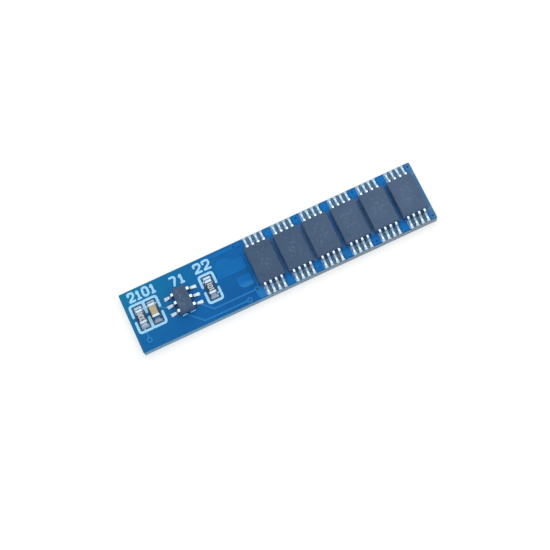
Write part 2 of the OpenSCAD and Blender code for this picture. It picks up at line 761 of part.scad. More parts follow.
// A cap wraps the end of a chip: its top, end and underside, and its sides too if wrapped
module end_caps(h, wrapped) {
    w = chip_w - (wrapped ? 0 : 2 * term_t);
    for (turn = [0, 180]) rotate([0, 0, turn]) difference() {
        translate([-w / 2, chip_l / 2 - term_l, 0]) cube([w, term_l, h]);
        chip_body(h);
    }
}

// The solder under and beyond both end caps of a chip of height h
module chip_joints(h) {
    fillet_h = film_t + h * chip_wet;
    inside = (chip_l - term_l) / 2;
    side_view = concat(
        [[chip_land_gap / 2, 0], [chip_land_end, 0], [chip_land_end, lip_t]],
        reversed(hollow(chip_l / 2, chip_land_end, fillet_h)),
        [[chip_l / 2, fillet_h], [inside, fillet_h], [inside, film_t],
         [chip_land_gap / 2, film_t]]);
    a = chip_land_w / 2;
    b = chip_w / 2 - 2 * term_t;
    end_view = [[-a, 0], [a, 0], [a, lip_t], [b, h], [-b, h], [-a, lip_t]];
    for (turn = [0, 180]) rotate([0, 0, turn]) difference() {
        intersection() {
            across(side_view, chip_land_w);
            translate([0, chip_land_y, 0]) along(end_view, chip_land_l + cut);
        }
        block(chip_w, chip_l, h, film_t);
    }
}

module resistor_ceramic(pos) {
    color("#e8e6df") at_chip(pos, seat_z) chip_body(res_h);
}

module chip_end_caps(pos, h, wrapped) {
    color(tin_color) at_chip(pos, seat_z) end_caps(h, wrapped);
}

module resistor_coat(pos) {
    color("#2b3038") at_chip(pos, seat_z)
        block(chip_w - 2 * term_t, chip_l - 2 * term_l, coat_t, res_h - term_t);
}

module chip_solder(pos, h) {
    color(tin_color) at_chip(pos, land_z) chip_joints(h);
}

module capacitor_body() {
    color("#b3a682") at_chip(capacitor_pos, seat_z) chip_body(cap_h);
}

laminate();
top_copper();
bottom_copper();
via_barrels();
top_mask();
bottom_mask();
silkscreen();
pad_tin();
for (i = [0:mos_count - 1]) {
    mosfet_package(i);
    mosfet_leads(i);
    mosfet_solder(i);
}
controller_package();
controller_leads();
controller_solder();
resistor_ceramic(supply_pos);  // supply_resistor_ceramic
chip_end_caps(supply_pos, res_h, false);  // supply_resistor_end_caps
resistor_coat(supply_pos);  // supply_resistor_coat
chip_solder(supply_pos, res_h);  // supply_resistor_solder
resistor_ceramic(sense_pos);  // sense_resistor_ceramic
chip_end_caps(sense_pos, res_h, false);  // sense_resistor_end_caps
resistor_coat(sense_pos);  // sense_resistor_coat
chip_solder(sense_pos, res_h);  // sense_resistor_solder
capacitor_body();
chip_end_caps(capacitor_pos, cap_h, true);  // capacitor_end_caps
chip_solder(capacitor_pos, cap_h);  // capacitor_solder
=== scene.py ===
import math
import random

import bmesh
import bpy
from mathutils import Matrix, Vector, noise


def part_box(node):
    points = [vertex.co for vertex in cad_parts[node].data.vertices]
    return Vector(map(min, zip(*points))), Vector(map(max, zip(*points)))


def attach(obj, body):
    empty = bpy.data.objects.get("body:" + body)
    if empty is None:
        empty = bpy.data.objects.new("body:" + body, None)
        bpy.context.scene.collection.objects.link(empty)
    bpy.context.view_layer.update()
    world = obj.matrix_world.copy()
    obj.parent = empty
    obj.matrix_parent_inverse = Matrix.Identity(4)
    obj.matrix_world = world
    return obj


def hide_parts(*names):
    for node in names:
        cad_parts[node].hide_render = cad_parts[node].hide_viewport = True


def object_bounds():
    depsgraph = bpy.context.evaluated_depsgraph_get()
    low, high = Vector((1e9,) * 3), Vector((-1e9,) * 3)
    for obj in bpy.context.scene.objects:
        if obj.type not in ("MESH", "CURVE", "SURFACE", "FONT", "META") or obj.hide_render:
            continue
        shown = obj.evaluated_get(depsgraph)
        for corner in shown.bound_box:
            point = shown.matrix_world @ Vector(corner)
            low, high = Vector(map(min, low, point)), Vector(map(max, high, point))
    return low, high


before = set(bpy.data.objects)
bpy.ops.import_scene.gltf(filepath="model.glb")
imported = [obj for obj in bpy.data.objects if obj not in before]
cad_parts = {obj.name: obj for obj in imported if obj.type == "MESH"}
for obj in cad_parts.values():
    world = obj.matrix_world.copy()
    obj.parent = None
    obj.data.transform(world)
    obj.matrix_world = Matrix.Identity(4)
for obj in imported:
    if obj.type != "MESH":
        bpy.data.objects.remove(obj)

# The battery protection board, dressed. Shapes are worked out in millimetres and made in metres.
MM = 0.001
cad_low, cad_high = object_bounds()
scene = bpy.context.scene
scene.view_settings.view_transform = "Standard"
rng = random.Random(41)


def middle(node):
    """Middle and lowest and highest point of a CAD node, in millimetres."""
    low, high = (Vector(corner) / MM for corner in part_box(node))
    return (low + high) / 2, low, high


# The board's ends and long edges, and the places of its packages
EDGE_X, EDGE_Y = cad_high[0] / MM, cad_high[1] / MM
MOSFET_COUNT = 6
MOSFET_LENGTH = 3.0
CONTROLLER_X = middle("controller_package")[0].x
FIRST_MOSFET_X = middle("mosfet_1_package")[0].x
MOSFET_PITCH = middle("mosfet_2_package")[0].x - FIRST_MOSFET_X
LAST_MOSFET_X = FIRST_MOSFET_X + (MOSFET_COUNT - 1) * MOSFET_PITCH

# Bands of painted light and shade on the top: how far out from the board's middle line, or from
# the controller's own, each of them starts, is full, begins to fade and is gone
BESIDE_LEADS = (1.90, 2.10, 2.34, 2.42)
ON_TABS = (2.45, 2.75, 3.25, 3.42)
HEELS = (2.54, 2.64, 2.78, 3.22)
CONTROLLER_HEELS = (1.04, 1.12, 1.28, 1.42)
CONTROLLER_TOES = (1.22, 1.34, 2.00, 2.20)


# ---------------------------------------------------------------- shaders
def colour(red, painted_reflection_to_corner, blue):
    """A display colour, 0 to 255, as the linear values that a shader takes."""
    def linear(v):
        v /= 255
        return v / 12.92 if v <= 0.04045 else ((v + 0.055) / 1.055) ** 2.4
    return linear(red), linear(painted_reflection_to_corner), linear(blue), 1.0


def add_node(tree, kind, inputs=None, **settings):
    """A shader node. Each input is a plain value or the socket that feeds it."""
    made = tree.nodes.new(kind)
    for key, value in settings.items():
        setattr(made, key, value)
    for key, value in (inputs or {}).items():
        if isinstance(value, bpy.types.NodeSocket):
            tree.links.new(value, made.inputs[key])
        else:
            made.inputs[key].default_value = value
    return made


class Finish:
    """A procedural material. Its textures are laid out in millimetres of the object."""

    def __init__(self, name, metallic=0.0, specular=0.5):
        self.material = bpy.data.materials.new(name)
        self.material.use_nodes = True
        self.tree = self.material.node_tree
        self.shader = self.tree.nodes["Principled BSDF"]
        self.shader.inputs["Metallic"].default_value = metallic
        self.shader.inputs["Specular IOR Level"].default_value = specular
        here = self.node("ShaderNodeTexCoord").outputs["Object"]
        self.place = self.node("ShaderNodeVectorMath", {0: here, "Scale": 1 / MM},
                               operation="SCALE").outputs[0]
        self.height = None

    def node(self, kind, inputs=None, **settings):
        return add_node(self.tree, kind, inputs, **settings)

    def stretched(self, x, y, z):
        """The place in millimetres, times a scale for each axis."""
        return self.node("ShaderNodeVectorMath", {0: self.place, 1: (x, y, z)},
                         operation="MULTIPLY").outputs[0]

    def noise(self, scale, detail=3.0, rough=0.55, place=None):
        return self.node("ShaderNodeTexNoise", {
            "Vector": place or self.place, "Scale": scale, "Detail": detail,
            "Roughness": rough}).outputs["Fac"]

    def cells(self, scale):
        return self.node("ShaderNodeTexVoronoi", {"Vector": self.place, "Scale": scale}
                         ).outputs["Distance"]

    def maths(self, operation, a, b=0.0, c=0.0):
        return self.node("ShaderNodeMath", {0: a, 1: b, 2: c}, operation=operation).outputs[0]

    def times(self, product, *others):
        for other in others:
            product = self.maths("MULTIPLY", product, other)
        return product

    def away(self, value, middle_value=0.0):
        """How far a value lies from a middle, on either side."""
        return self.maths("ABSOLUTE", self.maths("SUBTRACT", value, middle_value))

    def wave(self, value, rate):
        return self.maths("SINE", self.times(value, rate))

    def spread(self, value, low, high, to_low=0.0, to_high=1.0):
        """A value's range from low to high, smoothly carried to another range."""
        return self.node("ShaderNodeMapRange", {
            "Value": value, "From Min": low, "From Max": high, "To Min": to_low,
            "To Max": to_high}, interpolation_type="SMOOTHSTEP").outputs["Result"]

    def band(self, value, start, full, fade, gone):
        """1 from full to fade, falling smoothly to 0 at start and at gone."""
        return self.times(self.spread(value, start, full), self.spread(value, gone, fade))

    def mix(self, factor, a, b, blend="MIX"):
        return self.node("ShaderNodeMix", {0: factor, 6: a, 7: b}, data_type="RGBA",
                         blend_type=blend).outputs[2]

    def mix_values(self, factor, a, b):
        return self.node("ShaderNodeMix", {0: factor, 2: a, 3: b}, data_type="FLOAT").outputs[0]

    def axis(self, name, source=None):
        split = self.node("ShaderNodeSeparateXYZ", {0: source or self.place})
        return split.outputs[name]

    def facing_up(self):
        normal = self.node("ShaderNodeNewGeometry").outputs["Normal"]
        return self.axis("Z", normal)

    def scaled(self, base, tone):
        """The colour, times a number."""
        grey = self.node("ShaderNodeCombineColor", {0: tone, 1: tone, 2: tone}).outputs[0]
        return self.mix(1.0, base, grey, "MULTIPLY")

    def mottle(self, base, scale, amount, detail=3.0):
        """The colour, made lighter and darker by a noise."""
        tone = self.spread(self.noise(scale, detail), 0.3, 0.7, 1 - amount, 1 + amount)
        return self.scaled(base, tone)

    def bump(self, height, depth, strength=1.0):
        """Adds relief of a depth in millimetres to what is there already."""
        inputs = {"Height": height, "Distance": depth * MM, "Strength": strength}
        if self.height:
            inputs["Normal"] = self.height
        self.height = self.node("ShaderNodeBump", inputs).outputs["Normal"]

    def uneven(self, scale, smooth, rough):
        """A roughness that drifts between two values."""
        return self.spread(self.noise(scale), 0.3, 0.7, smooth, rough)

    def done(self, base, rough):
        """The material, with its colour, its relief and a roughness that may be a plain number."""
        self.tree.links.new(base, self.shader.inputs["Base Color"])
        self.tree.links.new(self.height, self.shader.inputs["Normal"])
        if isinstance(rough, bpy.types.NodeSocket):
            self.tree.links.new(rough, self.shader.inputs["Roughness"])
        else:
            self.shader.inputs["Roughness"].default_value = rough
        return self.material


def between_packages(f, x, every, aside, wide, narrow):
    """1 in each gap between MOSFETs, or in every second one, in a stripe that lies aside of the
    middle of the gap and fades out from its half width narrow to its half width wide."""
    first_gap = FIRST_MOSFET_X + MOSFET_PITCH * (every - 0.5) + aside
    turn = math.pi / (MOSFET_PITCH * every)
    turns = f.times(f.maths("SUBTRACT", x, first_gap), turn)
    stripe = f.spread(f.away(f.maths("COSINE", turns)),
                      math.cos(turn * wide), math.cos(turn * narrow))
    soft_end = 0.1
    in_row = f.band(x, FIRST_MOSFET_X, FIRST_MOSFET_X + soft_end,
                    LAST_MOSFET_X - soft_end, LAST_MOSFET_X)
    return f.times(stripe, in_row)


def painted_light_round_packages(f, base, x, across):
    """The top mask round the MOSFETs, with painted light: patchy paler tones that lift the shade
    beside their leads under the mouldings' edges, in the gaps between their mouldings and on the
    tabs in their shadow. In every second gap a paler stripe lies over a track under thin mask,
    painted paler still against the shade, with a dark line beside it."""
    row_start = FIRST_MOSFET_X - MOSFET_LENGTH / 2
    in_row = f.times(f.spread(x, row_start, row_start + 0.15),
                     f.maths("SUBTRACT", 1.0, between_packages(f, x, 1, 0.0, 0.44, 0.34)))
    patchy_lift = f.spread(f.noise(3.2, 4.0), 0.32, 0.60, 0.65, 1.0)
    # Painted light that lifts the shade beside the leads, under the mouldings' edges
    painted_lift_beside_leads = f.times(f.band(across, *BESIDE_LEADS), in_row, patchy_lift)
    base = f.mix(painted_lift_beside_leads, base, colour(104, 134, 170))
    # Painted light that brightens the tabs, which lie in the mouldings' shadow
    painted_lift_on_tabs = f.times(f.band(across, *ON_TABS), between_packages(f, x, 1, 0.0, 0.42, 0.20))
    base = f.mix(painted_lift_on_tabs, base, colour(12, 113, 187))
    beside_bodies = f.spread(across, 2.30, 2.05)
    # Painted light in the gaps between the mouldings, then a paler stripe over the track in every
    # second gap (partly thin mask, partly painted light), then a dark line beside it
    for every, aside, wide, narrow, tone in (
            (1, 0.0, 0.20, 0.17, (62, 114, 170)), (2, 0.0, 0.20, 0.17, (102, 144, 188)),
            (2, 0.05, 0.085, 0.035, (42, 86, 136))):
        stripe = between_packages(f, x, every, aside, wide, narrow)
        base = f.mix(f.times(stripe, beside_bodies, patchy_lift), base, colour(*tone))
    return base


def mask_finish(name, copper_low, copper_high, packages):
    """Blue solder mask: lighter where copper lies under it, with a painted reflection that turns
    it greener towards the far corner, and the glass weave and the hatched copper showing through
    faintly."""
    f = Finish(name, specular=0.08)
    x, y = f.axis("X"), f.axis("Y")
    across, along = f.away(y), f.away(x)
    over = f.spread(f.axis("Z"), copper_low, copper_high)
    bare = f.mottle(colour(6, 93, 165), 0.22, 0.07)
    raised = f.mottle(colour(8, 105, 180), 0.5, 0.06)
    paler = f.spread(x, -9.0, -13.5, 0.0, 0.85)
    if packages:
        tracks = f.times(f.spread(y, -0.9, -1.3), f.spread(x, -2.4, -2.9, 0.0, 0.7))
        paler = f.maths("MAXIMUM", tracks, paler)
    raised = f.mix(paler, raised, colour(42, 128, 197))
    base = f.mix(over, bare, raised)
    # Painted reflection: greener towards the controller's end and the far long edge
    painted_reflection_to_corner = f.times(f.spread(x, -EDGE_X, -3.0, 1.0, 0.10), f.spread(y, -3.0, 3.5, 0.25, 1.0), 0.75)
    base = f.mix(painted_reflection_to_corner, base, colour(12, 127, 170))
    rim = f.maths("MAXIMUM", f.times(f.spread(across, EDGE_Y - 0.17, EDGE_Y), 0.40),
                  f.times(f.spread(along, EDGE_X - 0.35, EDGE_X - 0.05), 0.55))
    base = f.mix(rim, base, colour(52, 112, 142))
    near_end = f.spread(x, EDGE_X - 0.9, EDGE_X - 0.2, 0.0, 0.45)
    base = f.mix(near_end, base, colour(100, 138, 158))
    if packages:
        base = painted_light_round_packages(f, base, x, across)
    weave = f.times(f.wave(x, 11.0), f.wave(y, 11.0))
    hatch = f.wave(f.maths("SUBTRACT", x, y), 16.0)
    shown = f.mix_values(over, f.times(weave, 0.022), f.times(hatch, 0.06))
    base = f.scaled(base, f.maths("ADD", shown, 1.0))
    specks = f.spread(f.cells(2.1), 0.06, 0.015)
    base = f.mix(f.times(specks, 0.30), base, colour(46, 132, 186))
    f.bump(weave, 0.002, 0.5)
    f.bump(f.noise(5.0, 2.0), 0.004, 0.6)
    f.bump(f.noise(28.0, 2.0), 0.001, 0.5)
    return f.done(base, f.uneven(3.0, 0.34, 0.50))


def laminate_finish():
    """Glass and epoxy: crossed strands on its faces, and layers of glass along its edges. Its
    faces are darker near the middle line, a painted shade beside the packages. Its edges are paler
    just under the mask, partly the milled edge and partly a painted highlight, and take on a
    painted blue glow from the mask towards the controller's end."""
    f = Finish("glass_laminate", specular=0.15)
    x, y, z = (f.axis(name) for name in "XYZ")
    strands = f.times(f.wave(x, 13.0), f.wave(y, 13.0))
    # Painted shade: the faces darker near the middle line, beside the packages
    painted_shade_face = f.mix(f.spread(strands, -0.8, 0.8), colour(50, 74, 104), colour(66, 92, 122))
    paler = f.mix(f.spread(strands, -0.8, 0.8), colour(72, 102, 128), colour(96, 128, 152))
    face = f.mottle(f.mix(f.spread(f.away(y), 2.2, 2.7), painted_shade_face, paler), 2.4, 0.12)
    layers = f.spread(f.wave(z, 48.0), -0.9, 0.9)
    dashes = f.noise(1.0, 3.0, place=f.stretched(1.6, 1.6, 26.0))
    edge = f.mix(layers, colour(104, 122, 134), colour(134, 150, 160))
    edge = f.mix(f.spread(dashes, 0.35, 0.65), edge, colour(150, 166, 175))
    # A paler strip just under the mask, partly the milled edge and partly a painted highlight
    edge = f.mix(f.spread(z, 0.80, 0.88), edge, colour(190, 206, 215))
    # A painted blue glow from the mask, stronger towards the controller's end
    edge = f.mix(f.spread(x, 12.0, -14.0, 0.0, 0.5), edge, colour(66, 176, 222))
    edge = f.mottle(edge, 7.0, 0.10)
    f.bump(f.noise(1.0, 4.0, place=f.stretched(6.0, 6.0, 40.0)), 0.02, 0.7)
    return f.done(f.mix(f.spread(f.facing_up(), 0.4, 0.8), edge, face), 0.62)


def moulding_finish():
    """Spark-textured moulding compound, blue-grey, rubbed paler in the middle of its top. Its tops
    are painted brighter towards the board's far end from the controller, and its sides painted
    lighter where they stand in shade.
    """
    f = Finish("epoxy_moulding", specular=0.15)
    x = f.axis("X")
    # Painted light: the tops brighter towards the board's far end from the controller
    top = f.mix(f.spread(x, -2.0, 16.0), colour(67, 89, 117), colour(77, 98, 126))
    # Painted light: the steep sides lighter than the tops, where they stand in shade
    base = f.mix(f.spread(f.facing_up(), 0.2, 0.7), colour(86, 108, 142), top)
    base = f.mottle(f.mottle(base, 0.55, 0.05), 9.0, 0.07)
    grains = f.spread(f.cells(17.0), 0.10, 0.02)
    base = f.mix(f.times(grains, 0.22), base, colour(118, 136, 162))
    turns = f.times(f.maths("SUBTRACT", x, FIRST_MOSFET_X), math.tau / MOSFET_PITCH)
    centred = f.times(f.spread(f.maths("COSINE", turns), -0.3, 0.6),
                      f.spread(f.away(f.axis("Y")), 1.6, 0.8))
    rubbed = f.times(f.spread(f.noise(3.0, 4.0, 0.6), 0.47, 0.66), centred,
                     f.spread(f.facing_up(), 0.8, 0.98), 0.27)
    base = f.mix(rubbed, base, colour(122, 141, 166))
    f.bump(f.noise(30.0, 3.0), 0.008, 0.8)
    f.bump(f.noise(7.0, 2.0), 0.006, 0.5)
    return f.done(base, f.uneven(12.0, 0.52, 0.70))


def lead_painted_shade(f, base, across, out):
    """Painted shade: darker metal at the heels of the leads, and on the toes of the MOSFETs' far
    row and of the controller. The rows lie across from the board's middle, and out from the
    controller's."""
    base = f.mix(f.times(f.band(across, *HEELS), 0.85), base, colour(106, 132, 156))
    painted_shade_far_toe = f.times(f.spread(f.axis("Y"), 2.65, 2.85), 0.65)
    base = f.mix(painted_shade_far_toe, base, colour(138, 168, 190))
    base = f.mix(f.times(f.band(out, *CONTROLLER_HEELS), 0.8), base, colour(106, 132, 156))
    side = f.spread(f.axis("X"), CONTROLLER_X - 0.3, CONTROLLER_X + 0.3, 0.2, 0.7)
    return f.mix(f.times(f.band(out, *CONTROLLER_TOES), side), base, colour(146, 164, 178))


def solder_marks(f, base, across, out, film_low, film_high):
    """Solder is matt where it is only a thin film, between two heights, and duller at the ends of
    the chips."""
    film_only = f.spread(f.axis("Z"), film_low, film_high, 0.85, 0.0)
    base = f.mix(film_only, base, colour(112, 138, 162))
    at_chips = f.times(f.spread(out, 2.4, 2.6), f.spread(across, 2.2, 2.0))
    ends = f.maths("MAXIMUM", f.spread(f.axis("Y"), -0.72, -0.88, 0.0, 0.65),
                   f.spread(f.axis("Y"), 1.25, 1.40, 0.0, 0.45))
    return f.mix(f.times(at_chips, ends), base, colour(100, 124, 146))


def metal_finish(name, flat, steep, rough, ripple, grain, film_z=None, broad=4.0, fine=0.05,
                 leads=True):
    """Tin and solder: bright where it lies flat and darker on its slopes, a painted shade, and
    duller in patches. leads adds the painted shade along the rows of leads, and film_z, two
    heights, the marks of solder."""
    f = Finish(name, metallic=1.0)
    # Painted shade: slopes darker than flat metal
    base = f.mix(f.spread(f.facing_up(), 0.30, 0.93), colour(*steep), colour(*flat))
    across, out = f.away(f.axis("Y")), f.away(f.axis("X"), CONTROLLER_X)
    if leads:
        base = lead_painted_shade(f, base, across, out)
    if film_z:
        base = solder_marks(f, base, across, out, *film_z)
    base = f.mottle(f.mottle(base, broad, 0.07), 22.0, fine)
    dull = f.times(f.spread(f.noise(broad * 2.2, 4.0), 0.54, 0.70), 0.30)
    base = f.mix(dull, base, colour(150, 172, 192))
    f.bump(f.noise(ripple, 2.0), 0.010, 0.55)
    f.bump(f.noise(grain, 3.0), 0.002, 0.6)
    return f.done(base, f.uneven(11.0, *rough))


def ink_finish(name, tone, thin_tone):
    """Printed ink: slightly chalky, with soft thin places."""
    f = Finish(name, specular=0.12)
    base = f.mottle(colour(*tone), 3.2, 0.05)
    thin = f.times(f.spread(f.noise(6.5, 4.0), 0.60, 0.76), 0.35)
    base = f.mix(thin, base, colour(*thin_tone))
    f.bump(f.noise(18.0, 3.0), 0.006, 0.7)
    return f.done(base, 0.6)


def copper_finish():
    f = Finish("copper_foil", metallic=1.0)
    base = f.mottle(colour(172, 116, 84), 4.0, 0.10)
    base = f.mix(f.spread(f.noise(9.0), 0.45, 0.7), base, colour(120, 82, 66))
    f.bump(f.noise(20.0, 3.0), 0.004, 0.6)
    return f.done(base, f.uneven(8.0, 0.35, 0.55))


def via_finish():
    """The thick dark mask that has run into a via and closes it."""
    f = Finish("filled_via", specular=0.2)
    base = f.mottle(colour(8, 92, 156), 7.0, 0.10)
    base = f.mix(f.spread(f.noise(13.0), 0.5, 0.7), base, colour(20, 106, 166))
    f.bump(f.noise(18.0, 3.0), 0.006, 0.7)
    return f.done(base, f.uneven(9.0, 0.35, 0.55))


def stone_finish(name, tone, patch, pale, fine, rough):
    """Fired ceramic: broad patches of a second tone, fine crystals and a few paler specks."""
    f = Finish(name, specular=0.3)
    base = f.mottle(colour(*tone), 5.0, 0.06)
    patches = f.times(f.spread(f.noise(3.0), 0.42, 0.62), 0.6)
    base = f.mottle(f.mix(patches, base, colour(*patch)), fine, 0.08)
    specks = f.times(f.spread(f.cells(14.0), 0.09, 0.02), 0.4)
    base = f.mix(specks, base, colour(*pale))
    f.bump(f.noise(fine, 3.0), 0.005, 0.7)
    return f.done(base, rough)


def coat_finish():
    """The resistors' dark glass coat, cloudy and a little wavy."""
    f = Finish("glass_coat", specular=0.3)
    base = f.mottle(colour(50, 66, 84), 4.0, 0.14)
    clouds = f.times(f.spread(f.noise(10.0, 3.0), 0.55, 0.7), 0.4)
    base = f.mix(clouds, base, colour(88, 106, 124))
    f.bump(f.noise(9.0, 2.0), 0.006, 0.6)
    return f.done(base, f.uneven(6.0, 0.22, 0.38))


MASK_TOP = mask_finish("solder_mask_top", 0.99, 1.015, packages=True)
MASK_UNDER = mask_finish("solder_mask_under", 0.03, 0.008, packages=False)
LAMINATE = laminate_finish()
MOULDING = moulding_finish()
LEAD = metal_finish("tinned_lead", flat=(212, 232, 247), steep=(214, 234, 248),
                    rough=(0.24, 0.40), ripple=9.0, grain=60.0)
SOLDER = metal_finish("solder_joint", flat=(198, 220, 238), steep=(106, 134, 158),
                      rough=(0.20, 0.38), ripple=5.0, grain=34.0, film_z=(1.0145, 1.030))
PAD = metal_finish("tinned_pad", flat=(218, 228, 238), steep=(160, 176, 192),
                   rough=(0.16, 0.34), ripple=1.1, grain=24.0, broad=0.8, fine=0.015, leads=False)
CAP = metal_finish("plated_end_cap", flat=(176, 192, 204), steep=(112, 136, 156),
                   rough=(0.30, 0.46), ripple=8.0, grain=45.0)
TINNED = metal_finish("tinned_copper", flat=(150, 174, 196), steep=(96, 120, 144),
                      rough=(0.30, 0.46), ripple=6.0, grain=40.0)
INK = ink_finish("legend_ink", (166, 220, 253), (116, 178, 230))
MARK = ink_finish("chip_marking", (214, 228, 236), (170, 188, 200))
COPPER = copper_finish()
VIA = via_finish()
ALUMINA = stone_finish("alumina", tone=(205, 211, 212), patch=(188, 198, 204),
                       pale=(238, 240, 238), fine=24.0, rough=0.6)
TAN = stone_finish("capacitor_ceramic", tone=(192, 174, 126), patch=(158, 156, 142),
                   pale=(226, 212, 172), fine=18.0, rough=0.5)
COAT = coat_finish()


# ---------------------------------------------------------------- mesh kit
def ring(bm, points):
    return [bm.verts.new(p) for p in points]


def round_ring(bm, centre, radius, z, sides):
    x, y = centre
    turns = [math.tau * k / sides for k in range(sides)]
    return ring(bm, [(x + radius * math.cos(t), y + radius * math.sin(t), z) for t in turns])


def skin(bm, rings):
    """The faces between each ring and the next."""
    for a, b in zip(rings, rings[1:]):
        for k in range(len(a)):
            n = (k + 1) % len(a)
            bm.faces.new((a[k], a[n], b[n], b[k]))


def closed(bm, rings):
    """A form through rings, with a face over its first and its last."""
    skin(bm, rings)
    bm.faces.new(rings[0])
    bm.faces.new(rings[-1])


def rounded(a, b, r, steps=4):
    """A rectangle of half sizes a and b with round corners, counter-clockwise."""
    r = min(r, a * 0.98, b * 0.98)
    points = []
    for k, (sx, sy) in enumerate(((1, 1), (-1, 1), (-1, -1), (1, -1))):
        for s in range(steps + 1):
            t = math.radians(90 * k + 90 * s / steps)
            points.append((sx * (a - r) + r * math.cos(t), sy * (b - r) + r * math.sin(t)))
    return points


# A dimple's rings: how much wider each is than the dimple, and its share of the depth
DIMPLE_RINGS = ((0.020, 0.0), (0.0, 0.0), (-0.012, 0.25), (-0.025, 0.8), (-0.045, 1.0))
DIMPLE_SIDES = 32


def stack(bm, a, b, r, profile, dimple=None):
    """A closed form made of rounded rectangles, one for each height and inset of the profile.
    dimple is a round hollow in its top: its middle, radius and depth."""
    least_r = 0.012
    loops = []
    for z, inset in profile:
        outline = rounded(a - inset, b - inset, max(r - inset, least_r))
        loops.append(ring(bm, [(x, y, z) for x, y in outline]))
    if dimple is None:
        closed(bm, loops)
        return
    centre, radius, depth = dimple
    top = profile[-1][0]
    rims = [round_ring(bm, centre, radius + wider, top - share * depth, DIMPLE_SIDES)
            for wider, share in DIMPLE_RINGS]
    skin(bm, loops)
    skin(bm, rims)
    bm.faces.new(loops[0])
    bm.faces.new(rims[-1])
    edges = {bm.edges.get(pair) for loop in (loops[-1], rims[0])
             for pair in zip(loop, loop[1:] + loop[:1])}
    bmesh.ops.triangle_fill(bm, edges=list(edges), use_beauty=True)


# The fine ridge that a mould's parting line leaves: heights from the middle, and insets
PARTING_LINE = ((-0.016, 0.006), (-0.010, -0.008), (0.010, -0.008), (0.016, 0.006))


def edge_profile(h, soft, steps=3, lean=0.0):
    """Heights and insets of a block of height h with softened edges. lean is the inset of its
    top and bottom faces, where its sides are drafted from a parting line halfway up."""
    turns = [math.radians(90 * k / steps) for k in range(steps + 1)]
    arc = [(soft * (1 - math.cos(t)), soft * (1 - math.sin(t))) for t in turns]
    low = [(z, lean * (1 - 2 * z / h) + side) for z, side in arc]
    parting = [(h / 2 + z, side) for z, side in PARTING_LINE] if lean else []
    high = [(h - z, side) for z, side in reversed(low)]
    inside_edge = low[0][1] + 0.03
    return [(0.0, inside_edge), *low, *parting, *high, (h, inside_edge)]


# The turns, in degrees, of a form that stands on both sides of a part
BOTH_SIDES = (0.0, 180.0)


def at(x, y, z, turn=0.0):
    """A place on the board, turned by degrees about its own upright axis."""
    return Matrix.Translation((x, y, z)) @ Matrix.Rotation(math.radians(turn), 4, "Z")


def make_piece(name, parts, material, slot, nodes=(), sharp=40):
    """One piece that rides on the board and may stand for CAD nodes. Each of its parts is a
    function that adds a form in millimetres to the mesh, and the matrix that places it."""
    bm = bmesh.new()
    for grow, matrix in parts:
        before = len(bm.verts)
        grow(bm)
        bm.verts.ensure_lookup_table()
        bmesh.ops.transform(bm, matrix=matrix, verts=bm.verts[before:])
    bmesh.ops.recalc_face_normals(bm, faces=bm.faces)
    bmesh.ops.scale(bm, vec=(MM, MM, MM), verts=bm.verts)
    mesh = bpy.data.meshes.new(name)
    bm.to_mesh(mesh)
    bm.free()
    mesh.polygons.foreach_set("use_smooth", [True] * len(mesh.polygons))
    mesh.set_sharp_from_angle(angle=math.radians(sharp))
    mesh.materials.append(material)
    piece = bpy.data.objects.new(name, mesh)
    scene.collection.objects.link(piece)
    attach(piece, "root")
    if nodes:
        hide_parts(*nodes)


def softened(points, most, steps):
    """A bent line in a plane with an arc at each inner corner, of the given radius or of what
    its two sides leave room for."""
    out = [points[0]]
    for a, b, c in zip(points, points[1:], points[2:]):
        a, b, c = Vector(a), Vector(b), Vector(c)
        u, v = (a - b).normalized(), (c - b).normalized()
        half = math.acos(max(-1, min(1, u.dot(v)))) / 2
        r = min(most, 0.48 * min((a - b).length, (c - b).length) * math.tan(half))
        hub = b + (u + v).normalized() * r / math.sin(half)
        start, stop = b + u * r / math.tan(half) - hub, b + v * r / math.tan(half) - hub
        turn = math.atan2(start.x * stop.y - start.y * stop.x, start.dot(stop))
        for k in range(steps + 1):
            t = turn * k / steps
            out.append((hub.x + start.x * math.cos(t) - start.y * math.sin(t),
                        hub.y + start.x * math.sin(t) + start.y * math.cos(t)))
    out.append(points[-1])
    return out


def smooth_curve(v, table):
    """A smooth curve through a table of places and values."""
    if v <= table[0][0]:
        return table[0][1]
    for (v0, h0), (v1, h1) in zip(table, table[1:]):
        if v <= v1:
            t = (v - v0) / (v1 - v0)
            t = t * t * (3 - 2 * t)
            return h0 + (h1 - h0) * t
    return table[-1][1]


# ---------------------------------------------------------------- solder
# The height of the lands, and over them that of the solder under a lead and of its outer lip
LAND_Z = 0.995
FILM = 0.02
LIP = 0.018
# The skirt of a patch: how far out it stands, and where its top and its foot lie over the land
SKIRT_OUT, SKIRT_TOP, SKIRT_FOOT = 0.012, 0.002, -0.034
PATCH_ROWS = 26


